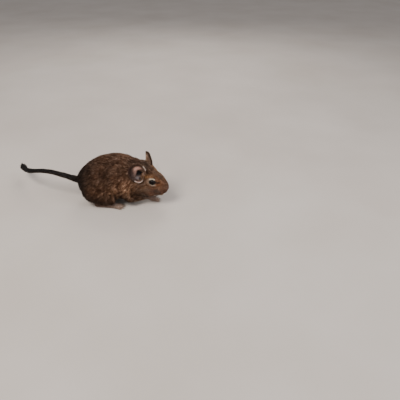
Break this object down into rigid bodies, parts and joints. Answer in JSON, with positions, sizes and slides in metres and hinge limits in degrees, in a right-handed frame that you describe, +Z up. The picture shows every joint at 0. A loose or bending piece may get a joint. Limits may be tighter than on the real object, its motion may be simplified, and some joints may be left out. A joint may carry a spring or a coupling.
{
  "type": "degu",
  "caption": "Still, life-size degu crouched with its back arched, its forepaws together under the chin and its head turned a little to its right.",
  "frame": {"origin": "middle of the underside of the bounding box, on the floor that the feet stand on", "axes": "+X the way the trunk faces, towards the head; +Y the animal's left; +Z up"},
  "size_m": [0.2204, 0.0942, 0.0669],
  "materials": {
    "coat_brown": "short dense fur, matte",
    "face_brown": "very short fur, matte",
    "tail_black": "bristly black hair, matte",
    "ear_skin": "thin bare skin with fine down, matte",
    "paw_grey": "scaly grey skin, matte",
    "eye_black": "wet gloss",
    "nose_skin": "bare skin, satin"
  },
  "bodies": {
    "root": {"head": "face_brown", "left_ear": "ear_skin", "left_eye": "eye_black", "left_forefoot": "paw_grey", "left_foreleg": "coat_brown", "left_hindfoot": "paw_grey", "left_hindleg": "coat_brown", "neck": "coat_brown", "nose": "nose_skin", "right_ear": "ear_skin", "right_eye": "eye_black", "right_forefoot": "paw_grey", "right_foreleg": "coat_brown", "right_hindfoot": "paw_grey", "right_hindleg": "coat_brown", "tail_end": "tail_black", "tail_middle": "tail_black", "tail_root": "tail_black", "trunk": "coat_brown"}
  },
  "joints": []
}
